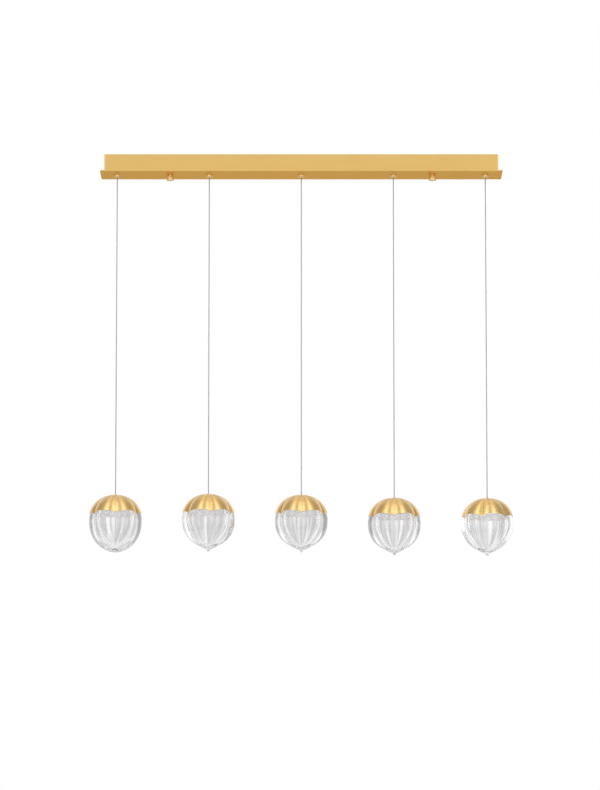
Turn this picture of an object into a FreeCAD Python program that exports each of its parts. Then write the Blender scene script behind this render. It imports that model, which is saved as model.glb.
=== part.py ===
"""Linear island pendant: a rectangular canopy with five lobed glass drops on thin cords.

Origin: centre of the canopy's top, on the ceiling. +X runs along the row, +Z points up.
Lengths are in millimetres and angles in degrees.
"""
import FreeCAD, Part
import math
import os

import Sketcher
from FreeCAD import Placement, Rotation, Vector

DROPS = (1, 2, 3, 4, 5)
MIDDLE_DROP = 3
LOBES = 6
HALF_LOBE = 180 / LOBES

doc = FreeCAD.newDocument("island_pendant")


# Driving dimensions
SIZES = {
    # canopy plate, the wide sheet that shows from below
    "plate_length": 952,
    "plate_width": 100,
    "plate_thickness": 2.5,
    "plate_edge_round": 0.6,
    # canopy housing, the box on top of the plate
    "housing_overhang": 10,
    "housing_height": 40,
    "sheet_thickness": 1.2,
    "housing_corner": 2,
    "housing_flange": 12,
    "screw_end_inset": 46,
    "screw_inset": 7,
    "screw_radius": 1.75,
    "screw_head_radius": 3.5,
    "screw_head_height": 2.2,
    "screw_clearance": 0.15,
    "screw_bite": 1.8,
    # small breaks on turned edges, and how far a cut runs past its face
    "edge_break": 1,
    "fine_break": 0.6,
    "cut_past": 1,
    "end_gap": 0.1,
    "head_overlap": 0.5,
    # bracket on the ceiling and the studs under it
    "bracket_width": 38,
    "bracket_thickness": 2,
    "bracket_flange": 8,
    "bracket_end": 25,
    "wire_hole_radius": 11,
    "box_slot_spacing": 80,
    "box_slot_length": 30,
    "box_slot_radius": 2.4,
    "anchor_spacing": 460,
    "anchor_hole_radius": 2.75,
    "stud_spacing": 622,
    "stud_radius": 2.5,
    "stud_clearance": 0.25,
    "thread_fit": 0.05,
    "lock_nut_across": 8,
    "lock_nut_height": 4,
    # knurled thumb nuts
    "thumb_radius": 9,
    "thumb_height": 9.5,
    "thumb_neck_radius": 6,
    "thumb_neck_height": 3.5,
    "thumb_running_gap": 0.05,
    "thumb_bore_depth": 9,
    "thumb_notch_radius": 0.8,
    "thumb_notch_stand": 0.35,
    "stud_end_gap": 1,
    # cord grips in the plate
    "cord_end_inset": 39.4,
    "grip_radius": 7.75,
    "grip_height": 5,
    "grip_step_radius": 5.6,
    "grip_step_height": 2,
    "grip_shank_radius": 5,
    "grip_shank_length": 12,
    "grip_clearance": 0.2,
    "grip_mouth_radius": 4.4,
    "grip_nut_across": 14,
    "grip_nut_height": 3,
    "pivot_depth": 3.2,
    "pivot_relief": 0.4,
    # cords
    "cord_radius": 1.25,
    "cord_clearance": 0.2,
    "cord_length_1": 771,
    "cord_length_2": 769,
    "cord_length_3": 771,
    "cord_length_4": 778,
    "cord_length_5": 779,
    "turn_1": 2.2,
    "turn_2": 5.8,
    "turn_3": 2.2,
    "turn_4": -1.6,
    "turn_5": -15,
    # lobed cap
    "cap_radius": 63.8,
    "cap_wall": 1.4,
    "lobe_stand": 25,
    "shoulder_power": 2.2,
    "scallop_base": 14,
    "scallop_rise": 5.4,
    "scallop_flare": 3,
    "scallop_drop": 20,
    # lobed glass
    "glass_gap": 0.4,
    "glass_rim": 34,
    "mouth_radius": 30,
    "cavity_radius": 41,
    "cavity_waist": 4,
    "cavity_depth": 52,
    "tip_reach": 73,
    "tip_radius": 1.7,
    "tip_length": 6,
    "tip_root_radius": 8.5,
    "round_reach": 71.5,
    "mouth_past": 2,
    # bush, ferrule and light source in the cap
    "bush_flange_radius": 5,
    "bush_flange_height": 1,
    "bush_radius": 4,
    "bush_length": 16,
    "bush_seat_depth": 7,
    "bush_fit": 0.05,
    "ferrule_radius": 3,
    "ferrule_length": 8,
    "ferrule_clearance": 0.1,
    "seal_height": 2,
    "seal_width": 5,
    "seal_inset": 1,
    "sink_flange_radius": 38,
    "sink_flange_height": 3.5,
    "sink_body_radius": 30,
    "sink_body_height": 11,
    "sink_hub_radius": 9,
    "sink_hub_break": 3,
    "sink_groove_width": 1.6,
    "sink_groove_depth": 5,
    "board_radius": 24,
    "board_height": 1.6,
    "lens_height": 5,
    "lens_wall": 1.5,
    "lens_gap": 0.3,
    # electrical parts in the canopy
    "driver_length": 150,
    "driver_width": 44,
    "driver_height": 22,
    "driver_corner": 3,
    "driver_place": 109,
    "driver_tab_length": 9,
    "driver_tab_height": 2.5,
    "block_length": 24,
    "block_width": 38,
    "block_height": 14,
    "block_place": -109,
    "block_well_radius": 1.6,
    "block_well_depth": 2,
    "lead_height": 14,
    "lead_lane": 6,
    "lead_bend": 5,
}


def make_sheet(sizes):
    """The spreadsheet that holds every driving dimension under its own name."""
    sheet = doc.addObject("Spreadsheet::Sheet", "sizes")
    for row, (name, number) in enumerate(sizes.items(), start=1):
        sheet.set(f"A{row}", name)
        sheet.set(f"B{row}", str(number))
        sheet.setAlias(f"B{row}", name)
    doc.recompute()
    return sheet


sheet = make_sheet(SIZES)


def value(expression):
    """Number that an expression over the sheet gives."""
    result = sheet.evalExpression(str(expression))
    return float(getattr(result, "Value", result))


# Places and levels that several pieces share
PLATE_TOP = "-sizes.housing_height"
PLATE_UNDERSIDE = f"({PLATE_TOP} - sizes.plate_thickness)"
PIVOT_LEVEL = f"({PLATE_UNDERSIDE} - sizes.grip_height + sizes.pivot_depth)"
GLASS_RADIUS = "(sizes.cap_radius - sizes.cap_wall - sizes.glass_gap)"
GRIP_BORE = "(sizes.cord_radius + sizes.cord_clearance)"
LOBE_SHARE = "(sizes.lobe_stand / sizes.cap_radius)"
CREASE_SHARE = (
    f"({LOBE_SHARE} * cos({HALF_LOBE} deg)"
    f" + sqrt((1 - {LOBE_SHARE})^2 - ({LOBE_SHARE} * sin({HALF_LOBE} deg))^2))"
)
ROW_LENGTH = "(sizes.plate_length - 2 * sizes.cord_end_inset)"
SINK_BOTTOM = "(sizes.glass_rim + sizes.seal_height)"
ROOF_TURN = 84
THUMB_NOTCHES = 20
CORD_END_SHARE = 0.98
# The ogee under a tipped glass: shares of the tip's length, and of the way from tip to root radius
OGEE = [(0, 0), (0.45, 0.225), (1, 0.5), (1.3, 1)]
BELLY_LOW = 0.985
BELLY_SHARE = 0.29
ROOF_LEVEL = f"(sizes.cap_radius * sin({ROOF_TURN} deg)^(2 / sizes.shoulder_power))"
ROOF_UNDERSIDE = f"({ROOF_LEVEL} * (1 - sizes.cap_wall / sizes.cap_radius))"
SINK_TOP = f"({ROOF_UNDERSIDE} - sizes.bush_fit)"
BUSH_SEAT = f"({ROOF_LEVEL} + sizes.bush_flange_height - sizes.bush_seat_depth)"


def drop_place(number):
    """X of a drop's axis: the outer cords keep their distance from the plate's ends."""
    return f"({number - MIDDLE_DROP} / {len(DROPS) - 1} * {ROW_LENGTH})"


def ball_level(number):
    """Height of the middle of a drop's glass ball: the cord ends at the bush's seat above it."""
    return f"({PIVOT_LEVEL} - sizes.cord_length_{number} - {BUSH_SEAT})"


# Helpers for bodies and sketches
def new_body(label):
    body = doc.addObject("PartDesign::Body", label)
    body.Label = label
    return body


def place_drop(body, number, turned=True):
    """Move a body that was drawn about the ball's middle to its place in the row."""
    body.setExpression("Placement.Base.x", drop_place(number))
    body.setExpression("Placement.Base.z", ball_level(number))
    if turned:
        body.Placement = Placement(Vector(0, 0, 0), Rotation(Vector(0, 0, 1), 1))
        body.setExpression("Placement.Rotation.Angle", f"sizes.turn_{number} * 1 deg")


def new_sketch(body, name, plane="XY_Plane", level="0", turn=0):
    """Sketch on one of the body's own planes, lifted off it by an expression."""
    sketch = body.newObject("Sketcher::SketchObject", name)
    support = next(item for item in body.Origin.OriginFeatures if item.Role == plane)
    sketch.AttachmentSupport = [(support, "")]
    sketch.MapMode = "FlatFace"
    if turn:
        sketch.AttachmentOffset = Placement(Vector(0, 0, 0), Rotation(Vector(0, 1, 0), turn))
    if level != "0":
        sketch.setExpression("AttachmentOffset.Base.z", level)
    return sketch


def pin_point(sketch, edge, end, across, up):
    """Tie a point of the sketch to a pair of expressions."""
    for kind, axis, expression in (("DistanceX", -2, across), ("DistanceY", -1, up)):
        if str(expression) == "0":
            sketch.addConstraint(Sketcher.Constraint("PointOnObject", edge, end, axis))
        else:
            number = value(expression)
            index = sketch.addConstraint(Sketcher.Constraint(kind, edge, end, number))
            sketch.setExpression(f"Constraints[{index}]", str(expression))


def outline(sketch, corners):
    """Closed outline of straight edges through corners that are pairs of expressions."""
    points = [Vector(value(across), value(up), 0) for across, up in corners]
    count = len(points)
    first = sketch.GeometryCount
    for index, point in enumerate(points):
        sketch.addGeometry(Part.LineSegment(point, points[(index + 1) % count]))
    for index in range(count):
        following = first + (index + 1) % count
        sketch.addConstraint(Sketcher.Constraint("Coincident", first + index, 2, following, 1))
    for index, (across, up) in enumerate(corners):
        pin_point(sketch, first + index, 1, across, up)


def rectangle(sketch, half_length, half_width, across="0", up="0"):
    """Rectangle about a centre that is a pair of expressions."""
    outline(
        sketch,
        [
            (f"{across} - {half_length}", f"{up} - {half_width}"),
            (f"{across} + {half_length}", f"{up} - {half_width}"),
            (f"{across} + {half_length}", f"{up} + {half_width}"),
            (f"{across} - {half_length}", f"{up} + {half_width}"),
        ],
    )


def circle(sketch, radius, across="0", up="0"):
    centre = Vector(value(across), value(up), 0)
    ring = sketch.addGeometry(Part.Circle(centre, Vector(0, 0, 1), value(radius)))
    index = sketch.addConstraint(Sketcher.Constraint("Radius", ring, value(radius)))
    sketch.setExpression(f"Constraints[{index}]", radius)
    pin_point(sketch, ring, 3, across, up)


def slot(sketch, half_run, radius, across, up="0"):
    """Slot along X with round ends, half_run from its middle to each end's centre."""
    middle = value(across)
    reach = value(half_run)
    tip = value(radius)
    height = value(up)
    left = Part.Circle(Vector(middle - reach, height, 0), Vector(0, 0, 1), tip)
    right = Part.Circle(Vector(middle + reach, height, 0), Vector(0, 0, 1), tip)
    quarter = math.pi / 2
    arc_left = sketch.addGeometry(Part.ArcOfCircle(left, quarter, 3 * quarter))
    arc_right = sketch.addGeometry(Part.ArcOfCircle(right, -quarter, quarter))
    low_left = Vector(middle - reach, height - tip, 0)
    low_right = Vector(middle + reach, height - tip, 0)
    high_left = Vector(middle - reach, height + tip, 0)
    high_right = Vector(middle + reach, height + tip, 0)
    low = sketch.addGeometry(Part.LineSegment(low_left, low_right))
    high = sketch.addGeometry(Part.LineSegment(high_right, high_left))
    for one, one_end, other, other_end in (
        (arc_left, 2, low, 1),
        (low, 2, arc_right, 1),
        (arc_right, 2, high, 1),
        (high, 2, arc_left, 1),
    ):
        sketch.addConstraint(Sketcher.Constraint("Tangent", one, one_end, other, other_end))
    index = sketch.addConstraint(Sketcher.Constraint("Radius", arc_left, tip))
    sketch.setExpression(f"Constraints[{index}]", radius)
    pin_point(sketch, arc_left, 3, f"{across} - {half_run}", up)
    pin_point(sketch, arc_right, 3, f"{across} + {half_run}", up)


def pad(body, sketch, length, reverse=False):
    feature = body.newObject("PartDesign::Pad", sketch.Name + "_pad")
    feature.Profile = sketch
    feature.Reversed = reverse
    feature.setExpression("Length", length)
    return feature


def pocket(body, sketch, length=None, reverse=False):
    """Pocket to a depth, or through everything where no depth is given."""
    feature = body.newObject("PartDesign::Pocket", sketch.Name + "_pocket")
    feature.Profile = sketch
    feature.Reversed = reverse
    if length is None:
        feature.Type = "ThroughAll"
        feature.SideType = "Symmetric"
    else:
        feature.setExpression("Length", length)
    return feature


def turn(body, corners, name="section"):
    """Turned piece: a closed half section of (radius, height) pairs swept about Z."""
    sketch = new_sketch(body, f"{body.Name}_{name}", "XZ_Plane")
    outline(sketch, corners)
    feature = body.newObject("PartDesign::Revolution", f"{body.Name}_{name}_turned")
    feature.Profile = sketch
    feature.ReferenceAxis = (sketch, ["V_Axis"])
    feature.Angle = 360
    return feature


def groove(body, corners, name):
    """Turned cut: the same as turn, but it takes material away."""
    sketch = new_sketch(body, f"{body.Name}_{name}", "XZ_Plane")
    outline(sketch, corners)
    feature = body.newObject("PartDesign::Groove", f"{body.Name}_{name}_cut")
    feature.Profile = sketch
    feature.ReferenceAxis = (sketch, ["V_Axis"])
    feature.Angle = 360
    return feature


def repeat(body, feature, direction, length, count):
    """Row of copies along one of the body's axes, the first at the feature itself."""
    row = body.newObject("PartDesign::LinearPattern", feature.Name + "_row")
    row.Originals = [feature]
    axis = next(item for item in body.Origin.OriginFeatures if item.Role == direction)
    row.Direction = (axis, [""])
    row.Occurrences = count
    row.setExpression("Length", length)
    body.Tip = row
    return row


def spin(body, feature, count):
    """Ring of copies about the body's Z axis."""
    ring = body.newObject("PartDesign::PolarPattern", feature.Name + "_ring")
    ring.Originals = [feature]
    axis = next(item for item in body.Origin.OriginFeatures if item.Role == "Z_Axis")
    ring.Axis = (axis, [""])
    ring.Angle = 360
    ring.Occurrences = count
    body.Tip = ring
    return ring


def hexagon(sketch, across_flats, across="0", up="0"):
    """Hexagon with two flats along X, drawn from its corners."""
    reach = f"{across_flats} / (2 * cos(30 deg))"
    corners = []
    for step in range(6):
        angle = f"{60 * step} deg"
        corners.append((f"{across} + {reach} * cos({angle})", f"{up} + {reach} * sin({angle})"))
    outline(sketch, corners)


# Ceiling bracket: a channel strap with slots for the junction box and holes for the studs
def ceiling_bracket():
    body = new_body("ceiling_bracket")
    half_length = "(sizes.stud_spacing / 2 + sizes.bracket_end)"
    strap = new_sketch(body, "strap_outline")
    rectangle(strap, half_length, "sizes.bracket_width / 2")
    pad(body, strap, "sizes.bracket_thickness + sizes.bracket_flange", reverse=True)
    channel = new_sketch(body, "channel_outline", level="-sizes.bracket_thickness")
    inside = "(sizes.bracket_width / 2 - sizes.bracket_thickness)"
    rectangle(channel, f"({half_length} + sizes.cut_past)", inside)
    pocket(body, channel, "sizes.bracket_flange + sizes.cut_past")
    holes = new_sketch(body, "strap_holes")
    circle(holes, "sizes.wire_hole_radius")
    half_run = "(sizes.box_slot_length / 2 - sizes.box_slot_radius)"
    for side in (-1, 1):
        slot(holes, half_run, "sizes.box_slot_radius", f"({side} * sizes.box_slot_spacing / 2)")
        circle(holes, "sizes.anchor_hole_radius", f"({side} * sizes.anchor_spacing / 2)")
        tapped = "(sizes.stud_radius + sizes.thread_fit)"
        circle(holes, tapped, f"({side} * sizes.stud_spacing / 2)")
    pocket(body, holes)
    return body


# Studs hang from the bracket, with a nut above their own shoulder under the strap
def mounting_studs():
    body = new_body("mounting_studs")
    body.AllowCompound = True
    base = new_sketch(body, "stud_circle", level="-sizes.bracket_thickness / 4")
    circle(base, "sizes.stud_radius", "(-sizes.stud_spacing / 2)")
    end = "sizes.thumb_bore_depth - sizes.stud_end_gap"
    reach = f"(-{PLATE_UNDERSIDE} + {end} - sizes.bracket_thickness / 4)"
    rod = pad(body, base, reach, reverse=True)
    repeat(body, rod, "X_Axis", "sizes.stud_spacing", 2)
    return body


def stud_lock_nuts():
    body = new_body("stud_lock_nuts")
    body.AllowCompound = True
    face = new_sketch(body, "lock_nut_face", level="-sizes.bracket_thickness")
    place = "(-sizes.stud_spacing / 2)"
    hexagon(face, "sizes.lock_nut_across", place)
    circle(face, "(sizes.stud_radius + sizes.thread_fit)", place)
    nut = pad(body, face, "sizes.lock_nut_height", reverse=True)
    repeat(body, nut, "X_Axis", "sizes.stud_spacing", 2)
    return body


# Canopy housing: a folded skirt with an inward flange that sits on the plate
def canopy_housing():
    body = new_body("canopy_housing")
    half_length = "(sizes.plate_length / 2 - sizes.housing_overhang)"
    half_width = "(sizes.plate_width / 2 - sizes.housing_overhang)"
    skirt = new_sketch(body, "skirt_outline")
    rectangle(skirt, half_length, half_width)
    block = pad(body, skirt, "sizes.housing_height", reverse=True)
    doc.recompute()
    upright = [
        f"Edge{index}"
        for index, edge in enumerate(block.Shape.Edges, start=1)
        if abs(edge.tangentAt(edge.FirstParameter).z) > 0.99
    ]
    corner = body.newObject("PartDesign::Fillet", "skirt_corners")
    corner.Base = (block, upright)
    corner.setExpression("Radius", "sizes.housing_corner")
    well = new_sketch(body, "skirt_inside")
    wall = "sizes.sheet_thickness"
    rectangle(well, f"({half_length} - {wall})", f"({half_width} - {wall})")
    pocket(body, well, f"sizes.housing_height - {wall}")
    window = new_sketch(body, "flange_window", level=PLATE_TOP)
    flange = "sizes.housing_flange"
    rectangle(window, f"({half_length} - {flange})", f"({half_width} - {flange})")
    pocket(body, window, "2 * sizes.sheet_thickness", reverse=True)
    holes = new_sketch(body, "flange_holes", level=PLATE_TOP)
    screw_holes(holes, "(sizes.screw_radius + sizes.screw_clearance)")
    pocket(body, holes, "2 * sizes.sheet_thickness", reverse=True)
    return body


def screw_holes(sketch, radius):
    """Six places on the flange, three along each long side."""
    row = "(sizes.plate_width / 2 - sizes.housing_overhang - sizes.screw_inset)"
    column = "(sizes.plate_length / 2 - sizes.housing_overhang - sizes.screw_end_inset)"
    for along in (-1, 0, 1):
        for side in (-1, 1):
            circle(sketch, radius, f"({along} * {column})", f"({side} * {row})")


# Canopy plate: the wide sheet with the cord grips' holes, stud holes and screw holes
def canopy_plate():
    body = new_body("canopy_plate")
    sheet_metal = new_sketch(body, "plate_outline", level=PLATE_TOP)
    rectangle(sheet_metal, "sizes.plate_length / 2", "sizes.plate_width / 2")
    slab = pad(body, sheet_metal, "sizes.plate_thickness", reverse=True)
    doc.recompute()
    underside = value(PLATE_UNDERSIDE)
    rim = [
        f"Edge{index}"
        for index, edge in enumerate(slab.Shape.Edges, start=1)
        if edge.BoundBox.ZMax < underside + 0.01
    ]
    eased = body.newObject("PartDesign::Fillet", "plate_rim")
    eased.Base = (slab, rim)
    eased.setExpression("Radius", "sizes.plate_edge_round")
    holes = new_sketch(body, "plate_holes", level=PLATE_TOP)
    for number in DROPS:
        circle(holes, "(sizes.grip_shank_radius + sizes.grip_clearance)", drop_place(number))
    for side in (-1, 1):
        stud_hole = "(sizes.stud_radius + sizes.stud_clearance)"
        circle(holes, stud_hole, f"({side} * sizes.stud_spacing / 2)")
    pocket(body, holes)
    blind = new_sketch(body, "screw_seats", level=PLATE_TOP)
    screw_holes(blind, "(sizes.screw_radius + sizes.thread_fit)")
    pocket(body, blind, "sizes.screw_bite + sizes.end_gap")
    return body


def housing_screws():
    """Six pan head screws that hold the housing's flange to the plate."""
    body = new_body("housing_screws")
    body.AllowCompound = True
    shank = new_sketch(body, "screw_shanks", level=f"{PLATE_TOP} - sizes.screw_bite")
    screw_holes(shank, "sizes.screw_radius")
    pad(body, shank, "sizes.screw_bite + sizes.sheet_thickness + sizes.head_overlap")
    heads = new_sketch(body, "screw_heads", level=f"{PLATE_TOP} + sizes.sheet_thickness")
    screw_holes(heads, "sizes.screw_head_radius")
    pad(body, heads, "sizes.screw_head_height")
    return body


# Thumb nuts: a knurled head under the plate with a narrower turned nose below
def thumb_nut(label, side):
    body = new_body(label)
    bore = "(sizes.stud_radius + sizes.thumb_running_gap)"
    head = "sizes.thumb_radius"
    neck = "sizes.thumb_neck_radius"
    top = "-sizes.thumb_running_gap"
    waist = "-sizes.thumb_neck_height"
    foot = "(-sizes.thumb_height - sizes.thumb_neck_height)"
    turn(
        body,
        [
            (bore, top),
            (neck, top),
            (neck, waist),
            (f"{head} - sizes.edge_break", waist),
            (head, f"{waist} - sizes.edge_break"),
            (head, f"{foot} + sizes.edge_break"),
            (f"{head} - sizes.edge_break", foot),
            ("0", foot),
            ("0", "-sizes.thumb_bore_depth"),
            (bore, "-sizes.thumb_bore_depth"),
        ],
    )
    notch = new_sketch(body, f"{label}_notch")
    circle(notch, "sizes.thumb_notch_radius", f"({head} + sizes.thumb_notch_stand)")
    cut = pocket(body, notch, "sizes.thumb_neck_height + sizes.thumb_height + sizes.cut_past")
    spin(body, cut, THUMB_NOTCHES)
    body.setExpression("Placement.Base.x", f"{side} * sizes.stud_spacing / 2")
    body.setExpression("Placement.Base.z", PLATE_UNDERSIDE)
    return body


# Cord grips: turned fittings with a shank through the plate and a flared mouth
def cord_grips():
    body = new_body("cord_grips")
    body.AllowCompound = True
    bore = GRIP_BORE
    foot = "-sizes.grip_height"
    feature = turn(
        body,
        [
            (bore, "sizes.grip_shank_length"),
            ("sizes.grip_shank_radius", "sizes.grip_shank_length"),
            ("sizes.grip_shank_radius", "0"),
            ("sizes.grip_radius", "0"),
            ("sizes.grip_radius", f"{foot} + sizes.grip_step_height + sizes.edge_break"),
            ("sizes.grip_radius - sizes.edge_break", f"{foot} + sizes.grip_step_height"),
            ("sizes.grip_step_radius", f"{foot} + sizes.grip_step_height"),
            ("sizes.grip_step_radius", f"{foot} + sizes.fine_break"),
            ("sizes.grip_step_radius - sizes.fine_break", foot),
            ("sizes.grip_mouth_radius", foot),
            (bore, f"{foot} + sizes.pivot_depth + sizes.pivot_relief"),
        ],
    )
    repeat(body, feature, "X_Axis", ROW_LENGTH, len(DROPS))
    body.setExpression("Placement.Base.x", drop_place(1))
    body.setExpression("Placement.Base.z", PLATE_UNDERSIDE)
    return body


def grip_lock_nuts():
    body = new_body("grip_lock_nuts")
    body.AllowCompound = True
    face = new_sketch(body, "grip_nut_face", level=PLATE_TOP)
    hexagon(face, "sizes.grip_nut_across", drop_place(1))
    circle(face, "(sizes.grip_shank_radius + sizes.thread_fit)", drop_place(1))
    nut = pad(body, face, "sizes.grip_nut_height")
    repeat(body, nut, "X_Axis", ROW_LENGTH, len(DROPS))
    return body


# Suspension cords: straight under the load, with a domed end centred on the swing's pivot
def suspension_cord(number):
    body = new_body(f"suspension_cord_{number}")
    line = new_sketch(body, f"cord_section_{number}", level="sizes.cord_radius")
    circle(line, "sizes.cord_radius")
    run = pad(body, line, f"sizes.cord_radius + sizes.cord_length_{number}", reverse=True)
    doc.recompute()
    top = [
        f"Edge{index}"
        for index, edge in enumerate(run.Shape.Edges, start=1)
        if edge.BoundBox.ZMin > 0
    ]
    eased = body.newObject("PartDesign::Fillet", f"cord_end_{number}")
    eased.Base = (run, top)
    eased.setExpression("Radius", f"sizes.cord_radius * {CORD_END_SHARE}")
    body.setExpression("Placement.Base.x", drop_place(number))
    body.setExpression("Placement.Base.z", PIVOT_LEVEL)
    return body


# Lobed form: four round lobes that meet in creases, scaled along the height
def lobed_section(body, name, level, radius):
    """One arc for each lobe; the arcs' centres stand off the axis and neighbours meet in a crease."""
    sketch = new_sketch(body, name, level=level)
    stand = f"({radius} * {LOBE_SHARE})"
    arc_radius = f"({radius} * (1 - {LOBE_SHARE}))"
    away = value(stand)
    reach = value(arc_radius)
    crease = value(f"{radius} * {CREASE_SHARE}")
    for index in range(LOBES):
        middle = 2 * HALF_LOBE * index
        start = from_axis(crease, middle - HALF_LOBE)
        end = from_axis(crease, middle + HALF_LOBE)
        sketch.addGeometry(Part.Arc(start, from_axis(away + reach, middle), end))
    for index in range(LOBES):
        following = (index + 1) % LOBES
        sketch.addConstraint(Sketcher.Constraint("Coincident", index, 2, following, 1))
        if following:
            sketch.addConstraint(Sketcher.Constraint("Equal", 0, following))
    index = sketch.addConstraint(Sketcher.Constraint("Radius", 0, reach))
    sketch.setExpression(f"Constraints[{index}]", arc_radius)
    for index in range(LOBES):
        middle = 2 * HALF_LOBE * index
        up = f"{stand} * sin({middle} deg)" if middle % 180 else "0"
        pin_point(sketch, index, 3, f"{stand} * cos({middle} deg)", up)
    return sketch


def from_axis(distance, degrees):
    """Point at a distance and a direction from the axis."""
    angle = math.radians(degrees)
    return Vector(distance * math.cos(angle), distance * math.sin(angle), 0)


def shoulder(radius, turn_up):
    """Level and radius of the upper half, which is a little squarer than a circle."""
    power = "(2 / sizes.shoulder_power)"
    return f"{radius} * sin({turn_up} deg)^{power}", f"{radius} * cos({turn_up} deg)^{power}"


def loft(body, kind, name, sections):
    feature = body.newObject(f"PartDesign::{kind}", name)
    feature.Profile = sections[0]
    feature.Sections = sections[1:]
    feature.Ruled = False
    feature.Closed = False
    return feature


# Cap: a thin lobed dome whose edge rises in an arc over each lobe
def cap(number):
    body = new_body(f"cap_{number}")
    turns = (9, 28, 48, 66, ROOF_TURN)
    outside = []
    inside = []
    inner_radius = "(sizes.cap_radius - sizes.cap_wall)"
    for step, angle in enumerate(turns):
        level, radius = shoulder("sizes.cap_radius", angle)
        outside.append(lobed_section(body, f"cap_{number}_outside_{step}", level, radius))
    loft(body, "AdditiveLoft", f"cap_{number}_dome", outside)
    for step, angle in enumerate(turns):
        level, radius = shoulder(inner_radius, angle)
        inside.append(lobed_section(body, f"cap_{number}_inside_{step}", level, radius))
    loft(body, "SubtractiveLoft", f"cap_{number}_hollow", inside)
    scallop = new_sketch(body, f"cap_{number}_scallop", "XZ_Plane", turn=HALF_LOBE)
    scallop_outline(scallop)
    cut = pocket(body, scallop)
    spin(body, cut, LOBES)
    bore = new_sketch(body, f"cap_{number}_bore", level="sizes.cap_radius / 2")
    circle(bore, "(sizes.bush_radius + sizes.bush_fit)")
    pocket(body, bore, "sizes.cap_radius", reverse=True)
    place_drop(body, number)
    return body


def scallop_outline(sketch):
    """Half ellipse over one lobe, from crease to crease, closed below the cap."""
    base = "sizes.scallop_base"
    crease = (
        "(sizes.cap_radius * (1 - (sizes.scallop_base / sizes.cap_radius)^sizes.shoulder_power)"
        f"^(1 / sizes.shoulder_power) * {CREASE_SHARE} * sin({HALF_LOBE} deg))"
    )
    half = value(crease)
    low = value(base)
    rise = value("sizes.scallop_rise")
    ellipse = Part.Ellipse(Vector(half, low, 0), Vector(0, low + rise, 0), Vector(0, low, 0))
    arch = sketch.addGeometry(Part.ArcOfEllipse(ellipse, 0, math.pi))
    sketch.exposeInternalGeometry(arch)
    drop = value("sizes.scallop_drop")
    foot = half + value("sizes.scallop_flare")
    right = Vector(half, low, 0)
    left = Vector(-half, low, 0)
    lower_right = Vector(foot, low - drop, 0)
    lower_left = Vector(-foot, low - drop, 0)
    down = sketch.addGeometry(Part.LineSegment(left, lower_left))
    floor = sketch.addGeometry(Part.LineSegment(lower_left, lower_right))
    back = sketch.addGeometry(Part.LineSegment(lower_right, right))
    sketch.addConstraint(Sketcher.Constraint("Coincident", arch, 2, down, 1))
    sketch.addConstraint(Sketcher.Constraint("Coincident", down, 2, floor, 1))
    sketch.addConstraint(Sketcher.Constraint("Coincident", floor, 2, back, 1))
    sketch.addConstraint(Sketcher.Constraint("Coincident", back, 2, arch, 1))
    pin_point(sketch, down, 1, f"-{crease}", base)
    pin_point(sketch, back, 2, crease, base)
    pin_point(sketch, floor, 1, f"-{crease} - sizes.scallop_flare", f"{base} - sizes.scallop_drop")
    pin_point(sketch, floor, 2, f"{crease} + sizes.scallop_flare", f"{base} - sizes.scallop_drop")
    return sketch


# Glass: the lobed ball with an ogee to its tip, and a drop shaped cavity inside
def glass(number):
    body = new_body(f"glass_{number}")
    radius = GLASS_RADIUS
    sections = []
    if number == 1:
        lower = [(f"-sizes.round_reach * sin({angle} deg)", f"{radius} * cos({angle} deg)")
                 for angle in (86, 78, 66, 52, 38, 24, 10)]
    else:
        reach = "sizes.tip_reach"
        widening = "(sizes.tip_root_radius - sizes.tip_radius)"
        lower = [
            (f"-{reach} + sizes.tip_length * {rise}", f"(sizes.tip_radius + {widening} * {share})")
            for rise, share in OGEE
        ]
        lower.append((f"-{radius} * {BELLY_LOW}", f"{radius} * {BELLY_SHARE}"))
        lower += [(f"-{radius} * sin({angle} deg)", f"{radius} * cos({angle} deg)")
                  for angle in (66, 54, 40, 26, 12)]
    upper = [shoulder(radius, angle) for angle in (8, 22)]
    upper.append(("sizes.glass_rim", f"{radius} * (1 - (sizes.glass_rim / {radius})"
                  "^sizes.shoulder_power)^(1 / sizes.shoulder_power)"))
    for step, (level, reach) in enumerate(lower + upper):
        sections.append(lobed_section(body, f"glass_{number}_section_{step}", level, reach))
    loft(body, "AdditiveLoft", f"glass_{number}_ball", sections)
    cavity = new_sketch(body, f"glass_{number}_cavity", "XZ_Plane")
    cavity_outline(cavity)
    hollow = body.newObject("PartDesign::Groove", f"glass_{number}_hollow")
    hollow.Profile = cavity
    hollow.ReferenceAxis = (cavity, ["V_Axis"])
    hollow.Angle = 360
    place_drop(body, number)
    return body


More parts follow.
